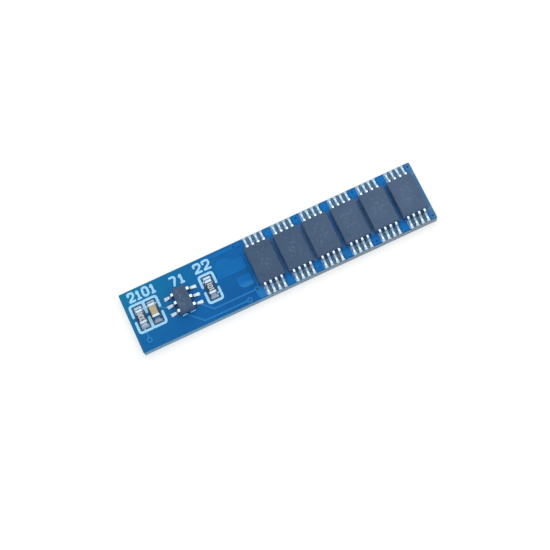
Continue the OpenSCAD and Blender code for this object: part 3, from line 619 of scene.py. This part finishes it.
def solder_patch(bm, half, near, far, height, spans):
    """A closed mound on a land: a grid whose height follows a function, over a straight skirt.
    Its corners are round, and its rows lie closer together towards both ends."""
    across = [-s for s in reversed(spans[1:])] + list(spans)
    corner = min(0.09, half * 0.4)
    grid = []
    for j in range(PATCH_ROWS + 1):
        t = 0.5 - 0.5 * math.cos(math.pi * j / PATCH_ROWS)
        v = near + (far - near) * (0.35 * t + 0.65 * j / PATCH_ROWS)
        end = min(v - near, far - v)
        narrow = corner - math.sqrt(max(corner ** 2 - max(corner - end, 0) ** 2, 0))
        row = [s * (half - narrow) for s in across]
        grid.append(ring(bm, [(u, v, height(u, v)) for u in row]))
    for low, high in zip(grid, grid[1:]):
        for k in range(len(across) - 1):
            bm.faces.new((low[k], low[k + 1], high[k + 1], high[k]))
    rim = (grid[0] + [line[-1] for line in grid[1:-1]] + grid[-1][::-1]
           + [line[0] for line in grid[-2:0:-1]])
    centre = Vector((0, (near + far) / 2))
    feet = [v.co.xy + (v.co.xy - centre).normalized() * SKIRT_OUT for v in rim]
    skirt = [ring(bm, [(x, y, z) for x, y in feet]) for z in (SKIRT_TOP, SKIRT_FOOT)]
    skin(bm, [rim] + skirt)
    bm.faces.new(skirt[-1])


# ---------------------------------------------------------------- gull-wing packages
# What both kinds share: the moulding's draft and edges, and the lead's thickness and bends
DRAFT = math.tan(math.radians(12))
MOULD_CORNER, MOULD_EDGE = 0.10, 0.045
LEAD_T = 0.15
LEAD_INSIDE = 0.08
COINED = 0.035
BEND_R = 0.12
SHOULDER = 0.12
SLOPE = math.radians(78)
# The last sections of a lead: where each lies from its end, and the share of its full size
TOE_SECTIONS = ((-0.030, 1.0), (-0.010, 0.96), (0.0, 0.86))


class Gull:
    """One kind of gull-wing package: its moulding, its rows of leads and their lands."""

    def __init__(self, length, width, height, standoff, leads, pitch, lead_w, span, land_w,
                 land_near, land_far, dimple=None):
        self.length, self.width, self.height, self.standoff = length, width, height, standoff
        self.lead_w, self.toe, self.dimple = lead_w, span / 2, dimple
        self.land_w, self.land_near, self.land_far = land_w, land_near, land_far
        self.row = [(k - (leads - 1) / 2) * pitch for k in range(leads)]
        level = standoff + height / 2
        out = width / 2 + SHOULDER + BEND_R * math.tan(SLOPE / 2)
        self.foot = out + (level - LEAD_T / 2) / math.tan(SLOPE)
        self.line = [(width / 2 - LEAD_INSIDE, level), (out, level),
                     (self.foot, LEAD_T / 2), (self.toe, LEAD_T / 2)]

    def moulding(self, bm):
        lean = self.height / 2 * DRAFT
        stack(bm, self.length / 2, self.width / 2, MOULD_CORNER,
              edge_profile(self.height, MOULD_EDGE, 4, lean), self.dimple)

    def lead(self, bm):
        """A bar of metal with coined edges and a softened toe, swept along the bent line."""
        line = softened(self.line, BEND_R, 7)
        section = rounded(self.lead_w / 2, LEAD_T / 2, COINED, 3)
        last = len(line) - 1
        stations = [(k, 0.0, 1.0) for k in range(last)]
        stations += [(last, slide, scale) for slide, scale in TOE_SECTIONS]
        rings = []
        for k, slide, scale in stations:
            a, b = Vector(line[max(k - 1, 0)]), Vector(line[min(k + 1, last)])
            along = (b - a).normalized()
            up = Vector((-along.y, along.x))
            centre = Vector(line[k]) + along * slide
            rings.append(ring(bm, [(p * scale, *(centre + up * q * scale)) for p, q in section]))
        closed(bm, rings)

    def joint(self, bm):
        """Solder that has wetted the land and climbs the heel, the sides and the toe. Each joint
        has taken a little more or less of it."""
        heel = self.foot - (FILM + LEAD_T) / math.tan(SLOPE)
        toe = self.toe
        wet = rng.uniform(0.88, 1.12)
        half, inner = self.land_w / 2, self.lead_w / 2 + 0.005
        climb = [(heel - 0.02, 1.25), (heel + 0.12, 0.62), (heel + 0.3, 0.50), (toe - 0.15, 0.68),
                 (toe, 0.88)]
        widen = [(heel + 0.05, 0.25), (toe - 0.2, 1.0)]

        def height(u, v):
            """High and narrow at the lead's heel, then low, and wider and higher to its toe."""
            rise = smooth_curve(v, climb) * LEAD_T * wet + FILM
            reach = smooth_curve(v, widen) * (half - inner)
            across = max(abs(u) - inner, 0) / reach
            past = max((v - toe) / (self.land_far - toe), (heel - v) / (heel - self.land_near), 0)
            s = min(math.hypot(across, past), 1.0)
            return LIP + (rise - LIP) * (1 - s) ** 1.4

        solder_patch(bm, half, self.land_near, self.land_far, height,
                     (0, 0.35, 0.62, 0.70, 0.78, 0.86, 0.93, 0.98, 1.0))


MOSFET = Gull(length=MOSFET_LENGTH, width=4.4, height=0.9, standoff=0.1, leads=4, pitch=0.65,
              lead_w=0.25, span=6.4, land_w=0.38, land_near=2.33, land_far=3.5,
              dimple=((-0.9, -1.6), 0.25, 0.03))
CONTROLLER = Gull(length=2.9, width=1.6, height=1.1, standoff=0.06, leads=3, pitch=0.95,
                  lead_w=0.34, span=2.9, land_w=0.42, land_near=0.85, land_far=1.9)


def dress(kind, prefix, label, turn):
    """The three pieces of one package, in the place that its CAD nodes give."""
    centre, low, _ = middle(prefix + "_package")
    seat = low.z - kind.standoff
    make_piece(label + "_moulding", [(kind.moulding, at(centre.x, centre.y, low.z, turn))],
               MOULDING, "moulding", [prefix + "_package"], 32)
    for part, grow, base, finish, slot in (
            ("leads", kind.lead, seat, LEAD, "tin"),
            ("solder", kind.joint, LAND_Z, SOLDER, "solder")):
        places = [at(centre.x, centre.y, base, turn + side) @ Matrix.Translation((x, 0, 0))
                  for side in BOTH_SIDES for x in kind.row]
        make_piece(f"{label}_{part}_detail", [(grow, place) for place in places],
                   finish, slot, [f"{prefix}_{part}"], 50)


for number in range(1, MOSFET_COUNT + 1):
    dress(MOSFET, f"mosfet_{number}", f"dual_mosfet_{number}", 0.0)
dress(CONTROLLER, "controller", "protection_controller", 90.0)


# ---------------------------------------------------------------- chip parts
# Length and width of a chip, then length and thickness of its end caps
CHIP_L, CHIP_W, CAP_LEN, CAP_T = 1.6, 0.8, 0.3, 0.03
RESISTOR_H, CAPACITOR_H = 0.45, 0.8
CHIP_LAND, CHIP_LAND_NEAR, CHIP_LAND_END = 0.86, 0.39, 1.29
CAP_SOFT = 0.045
# The glass coat: the depth in the ceramic that its heights count from, those heights with their
# insets, and how far it runs under the end caps
COAT_SUNK = 0.010
COAT_PROFILE = [(-0.01, 0.0), (0.010, 0.0), (0.020, 0.006), (0.027, 0.02), (0.030, 0.05),
                (0.032, 0.10)]
COAT_UNDER_CAP = 0.015


def dress_chip(prefix, label, body, h, cap_w, finish, slot):
    """The body, end caps and solder of one chip. Gives its middle and the height of its foot."""
    centre = middle(prefix + body)[0]
    seat = middle(prefix + "_end_caps")[1].z
    outwards = [at(centre.x, centre.y, 0.0, side) for side in BOTH_SIDES]

    def ceramic(bm):
        stack(bm, CHIP_W / 2 - CAP_T, CHIP_L / 2 - CAP_T, 0.02, edge_profile(h - 2 * CAP_T, 0.02))

    def cap(bm):
        stack(bm, cap_w / 2, CAP_LEN / 2, CAP_SOFT * 1.2, edge_profile(h, CAP_SOFT, 4))

    def joint(bm):
        """A thin film under the cap, and past it a mound that climbs its end."""
        half = CHIP_LAND / 2
        full = half * 0.62
        end = CHIP_L / 2
        climb = h * 0.72 * rng.uniform(0.9, 1.08)

        def height(u, v):
            if v < end - 0.16:
                return FILM * 0.9
            across = max(abs(u) - full, 0) / (half - full)
            past = max(v - end, 0) / (CHIP_LAND_END - end)
            s = min(math.hypot(across * 0.9, past), 1.0)
            return LIP + (FILM + climb - LIP) * (1 - s) ** 2

        solder_patch(bm, half, CHIP_LAND_NEAR, CHIP_LAND_END, height,
                     (0, 0.2, 0.4, 0.55, 0.68, 0.78, 0.86, 0.92, 0.97, 1.0))

    make_piece(label + "_body", [(ceramic, at(centre.x, centre.y, seat + CAP_T))],
               finish, slot, [prefix + body])
    cap_place = Matrix.Translation((0, (CHIP_L - CAP_LEN) / 2, seat))
    make_piece(label + "_caps", [(cap, place @ cap_place) for place in outwards],
               CAP, "tin", [prefix + "_end_caps"], 50)
    joint_place = Matrix.Translation((0, 0, LAND_Z))
    make_piece(label + "_solder_detail", [(joint, place @ joint_place) for place in outwards],
               SOLDER, "solder", [prefix + "_solder"], 50)
    return centre, seat


def coat(bm):
    """A resistor's glass coat, between its end caps."""
    stack(bm, CHIP_W / 2 - CAP_T, CHIP_L / 2 - CAP_LEN + COAT_UNDER_CAP, 0.03, COAT_PROFILE)


numbered_chips = []
for prefix, label, text in (("supply_resistor", "supply_chip", "330"),
                            ("sense_resistor", "sense_chip", "101")):
    centre, seat = dress_chip(prefix, label, "_ceramic", RESISTOR_H, CHIP_W - 2 * CAP_T,
                              ALUMINA, "ceramic")
    coat_z = seat + RESISTOR_H - CAP_T - COAT_SUNK
    make_piece(label + "_coat_detail", [(coat, at(centre.x, centre.y, coat_z))],
               COAT, "glass_coat", [prefix + "_coat"], 60)
    numbered_chips.append((label, text, centre, coat_z + COAT_PROFILE[-1][0]))
dress_chip("capacitor", "filter_chip", "_body", CAPACITOR_H, CHIP_W, TAN, "capacitor_ceramic")


# ---------------------------------------------------------------- plain numerals
# The pen lines of the digits that are used, in a square of side 1
DIGITS = {
    "0": [[(0, 0.5), (0, 1), (1, 1), (1, 0), (0, 0), (0, 0.5)]],
    "1": [[(0.1, 0.74), (0.5, 1), (0.5, 0)], [(0.1, 0), (0.9, 0)]],
    "2": [[(0, 0.72), (0, 1), (1, 1), (1, 0.56), (0, 0.04), (0.02, 0), (1, 0)]],
    "3": [[(0, 0.86), (0, 1), (1, 1), (1, 0.53), (0.4, 0.53)],
          [(0.4, 0.53), (1, 0.53), (1, 0), (0, 0), (0, 0.14)]],
    "7": [[(0, 1), (1, 1), (0.35, 0)]],
}
NARROW_ONE = 0.6


def written(text, low, high, pen):
    """The pen lines of numerals that fill a rectangle, stroke and all."""
    gap = pen * 1.5
    x, y = low[0] + pen / 2, low[1] + pen / 2
    tall = high[1] - low[1] - pen
    shares = [NARROW_ONE if digit == "1" else 1.0 for digit in text]
    unit = (high[0] - low[0] - pen - gap * (len(text) - 1)) / sum(shares)
    lines = []
    for digit, share in zip(text, shares):
        wide = unit * share
        lines += [softened([(x + wide * u, y + tall * v) for u, v in line], unit / 2, 4)
                  for line in DIGITS[digit]]
        x += wide + gap
    return lines


def distance(point, lines):
    """From a point to the nearest of some lines."""
    nearest = math.inf
    for line in lines:
        for a, b in zip(line, line[1:]):
            a, b = Vector(a), Vector(b)
            t = (point - a).dot(b - a) / (b - a).length_squared
            nearest = min(nearest, (a + (b - a) * max(0, min(1, t)) - point).length)
    return nearest


def film(bm, lines, pen, step, thick, ground):
    """A closed film of ink over all that the pen covers, with a slightly ragged outline. It is
    cut from a grid, cell by cell, and ground gives the height of what it lies on."""
    points = [point for line in lines for point in line]
    left, low = (min(p[k] for p in points) - pen for k in (0, 1))
    right, high = (max(p[k] for p in points) + pen for k in (0, 1))
    columns, rows = math.ceil((right - left) / step), math.ceil((high - low) / step)
    # Each grid point with its depth inside the ink, and the film's own points, made once each
    field, corners = {}, {}
    for i in range(columns + 1):
        for j in range(rows + 1):
            grid_point = Vector((left + i * step, low + j * step))
            ragged = noise.noise((grid_point.x * 2 / pen, grid_point.y * 2 / pen, 0)) * pen * 0.06
            field[i, j] = (grid_point, pen / 2 + ragged - distance(grid_point, lines))

    def corner(one, two):
        """The film's top and foot at a grid point, or on its outline between two of them."""
        key = tuple(sorted((one, two)))
        if key not in corners:
            (p, depth_p), (q, depth_q) = field[key[0]], field[key[1]]
            t = 0 if one == two else max(0.1, min(0.9, depth_p / (depth_p - depth_q)))
            place, depth = p.lerp(q, t), depth_p if one == two else 0
            rise = thick * min(1, 0.3 + 3 * depth / pen)
            z = ground(place)
            corners[key] = ring(bm, [(*place, z + rise), (*place, z - thick / 4)])
        return key

    edges = {}
    for i in range(columns):
        for j in range(rows):
            around = [(i, j), (i + 1, j), (i + 1, j + 1), (i, j + 1)]
            outline = []
            for one, two in zip(around, around[1:] + around[:1]):
                inside, inside_next = field[one][1] > 0, field[two][1] > 0
                if inside:
                    outline.append(corner(one, one))
                if inside != inside_next:
                    outline.append(corner(one, two))
            if len(outline) > 2:
                bm.faces.new([corners[key][0] for key in outline])
                bm.faces.new([corners[key][1] for key in reversed(outline)])
                edges.update({pair: None for pair in zip(outline, outline[1:] + outline[:1])})
    for one, two in edges:
        if (two, one) not in edges:
            (top, foot), (next_top, next_foot) = corners[one], corners[two]
            bm.faces.new((foot, next_foot, next_top, top))


def numerals(name, finish, lines, pen, step, thick, matrix, ground=lambda place: 0.0):
    """A number in ink, as a piece that stands for no CAD node."""
    def printed(bm):
        film(bm, lines, pen, step, thick, ground)

    make_piece(name, [(printed, matrix)], finish, "ink")


# The mask rises over the sense track that passes the third number
TRACK_PATH = [[(-9.85, 0.87), (-9.85, 1.97), (-8.72, 3.10), (-6.44, 3.10)]]
RAISED_HALF, RAISED_BY, RAISED_SLOPE = 0.11, 0.035, 0.03


def raised_mask(place):
    """How high the mask stands at a place, over its level beside the track."""
    past = (distance(place, TRACK_PATH) - RAISED_HALF) / RAISED_SLOPE
    return RAISED_BY * (1 - max(0, min(1, past)))


# The numbers on the board, each with its near and its far corner from the board's own corner
MASK_Z = 0.985
PEN = 0.25
corner_x, corner_y = cad_low[0] / MM, cad_low[1] / MM
for number, (text, low, high) in enumerate((
        ("2101", (0.77, 5.67), (3.98, 6.87)), ("71", (5.65, 5.33), (7.26, 6.56)),
        ("22", (8.50, 5.53), (10.46, 6.74))), 1):
    lines = written(text, (corner_x + low[0], corner_y + low[1]),
                    (corner_x + high[0], corner_y + high[1]), PEN)
    numerals(f"reference_number_{number}", INK, lines, PEN, step=0.03, thick=0.02,
             matrix=at(0, 0, MASK_Z), ground=raised_mask)

# The numbers on the resistors, read along their length
CHIP_PEN = 0.09
INK_GAP = 0.0005
for label, text, centre, top in numbered_chips:
    lines = written(text, (-0.45, -0.29), (0.45, 0.29), CHIP_PEN)
    numerals(label + "_number", MARK, lines, CHIP_PEN, step=0.015, thick=0.004,
             matrix=at(centre.x, centre.y, top + INK_GAP, 90))


# ---------------------------------------------------------------- filled vias
VIA_R, SUNK, FILL_BACK = 0.127, 0.07, 0.004
VIA_SIDES = 20
_, barrel_low, barrel_high = middle("via_barrels")


def via_middles():
    """The middle of each barrel, from the separate parts of the CAD node's mesh."""
    bm = bmesh.new()
    bm.from_mesh(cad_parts["via_barrels"].data)
    bmesh.ops.remove_doubles(bm, verts=bm.verts, dist=1e-7)
    left, middles = set(bm.verts), []
    while left:
        part, edge = set(), [next(iter(left))]
        while edge:
            v = edge.pop()
            if v not in part:
                part.add(v)
                edge += [e.other_vert(v) for e in v.link_edges]
        left -= part
        middles.append([(min(v.co[k] for v in part) + max(v.co[k] for v in part)) / 2 / MM
                        for k in (0, 1)])
    bm.free()
    return sorted(middles)


def via_plug(bm):
    """Mask that stays just short of both ends of its barrel, and sinks towards its middle."""
    low, high = barrel_low.z + FILL_BACK, barrel_high.z - FILL_BACK
    profile = [(share * VIA_R, low + SUNK * (1 - share ** 3)) for share in (0.2, 0.5, 0.8, 1.0)]
    profile += [(r, low + high - z) for r, z in reversed(profile)]
    closed(bm, [round_ring(bm, (0, 0), r, z, VIA_SIDES) for r, z in profile])


make_piece("via_fill_detail", [(via_plug, at(x, y, 0)) for x, y in via_middles()],
           VIA, "solder_mask", sharp=50)


# ---------------------------------------------------------------- CAD nodes that stay
for node, finish in (("laminate", LAMINATE), ("top_copper", TINNED), ("bottom_copper", COPPER),
                     ("via_barrels", TINNED), ("top_mask", MASK_TOP), ("bottom_mask", MASK_UNDER),
                     ("silkscreen", INK), ("pad_tin", PAD)):
    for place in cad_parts[node].material_slots:
        place.material = finish


# ---------------------------------------------------------------- studio
data = bpy.data.lights.new("softbox", "AREA")
data.shape, data.size, data.energy = "SQUARE", 0.40, 0.54
lamp = bpy.data.objects.new("softbox", data)
lamp.location = (0.12, 0.16, 0.32)
lamp.rotation_euler = (-lamp.location).to_track_quat("-Z", "Y").to_euler()
scene.collection.objects.link(lamp)

# The world is white to the camera and in reflections. As light it is strongest from above.
world = bpy.data.worlds.new("studio")
world.use_nodes = True
scene.world = world
tree = world.node_tree
direction = add_node(tree, "ShaderNodeTexCoord").outputs["Generated"]
upward = add_node(tree, "ShaderNodeSeparateXYZ", {0: direction}).outputs["Z"]
level = add_node(tree, "ShaderNodeMapRange", {"Value": upward, "From Min": -1}).outputs["Result"]
ramp = add_node(tree, "ShaderNodeValToRGB", {"Fac": level})
stops = ramp.color_ramp.elements
stops[0].position, stops[0].color = 0.0, (0.8, 0.8, 0.8, 1)
stops[1].position, stops[1].color = 1.0, (0.9, 0.9, 0.9, 1)
for position, value in ((0.48, 0.80), (0.52, 0.45), (0.74, 0.48), (0.86, 0.88)):
    stops.new(position).color = (value, value, value, 1)
rays = add_node(tree, "ShaderNodeLightPath")
plain_white = rays.outputs["Is Camera Ray"]
for kind in ("Is Glossy Ray", "Is Transmission Ray"):
    plain_white = add_node(tree, "ShaderNodeMath", {0: plain_white, 1: rays.outputs[kind]},
                           operation="MAXIMUM").outputs[0]
seen = add_node(tree, "ShaderNodeMix", {0: plain_white, 6: ramp.outputs["Color"],
                                        7: (1, 1, 1, 1)}, data_type="RGBA").outputs[2]
tree.links.new(seen, tree.nodes["Background"].inputs["Color"])

# The floor is white to the camera, keeps the soft shadow and lets a view from below pass.
FLOOR = bpy.data.materials.new("pale_floor")
FLOOR.use_nodes = True
tree = FLOOR.node_tree
tree.nodes.clear()
diffuse = add_node(tree, "ShaderNodeBsdfDiffuse", {"Color": (0.5, 0.5, 0.5, 1)}).outputs[0]
glow = add_node(tree, "ShaderNodeEmission", {"Color": (0.56, 0.56, 0.56, 1)}).outputs[0]
white = add_node(tree, "ShaderNodeAddShader", {0: diffuse, 1: glow}).outputs[0]
clear = add_node(tree, "ShaderNodeBsdfTransparent").outputs[0]
back = add_node(tree, "ShaderNodeNewGeometry").outputs["Backfacing"]
surface = add_node(tree, "ShaderNodeMixShader", {0: back, 1: white, 2: clear}).outputs[0]
add_node(tree, "ShaderNodeOutputMaterial", {"Surface": surface})
bm = bmesh.new()
bmesh.ops.create_grid(bm, x_segments=2, y_segments=2, size=2.0)
mesh = bpy.data.meshes.new("floor")
bm.to_mesh(mesh)
bm.free()
mesh.materials.append(FLOOR)
floor = bpy.data.objects.new("floor", mesh)
floor.location.z = cad_low[2] - 0.02 * MM
floor.visible_diffuse = floor.visible_glossy = floor.visible_transmission = False
floor.visible_shadow = False
scene.collection.objects.link(floor)

camera_data = bpy.data.cameras.new("camera")
camera_data.lens, camera_data.sensor_width = 93.46, 36.0
camera_data.clip_start, camera_data.clip_end = 0.01, 10.0
camera = bpy.data.objects.new("camera", camera_data)
camera.location = (-0.009588, -0.044578, 0.148270)
camera.rotation_euler = [math.radians(angle) for angle in (16.043, 3.967, -24.684)]
scene.collection.objects.link(camera)
scene.camera = camera
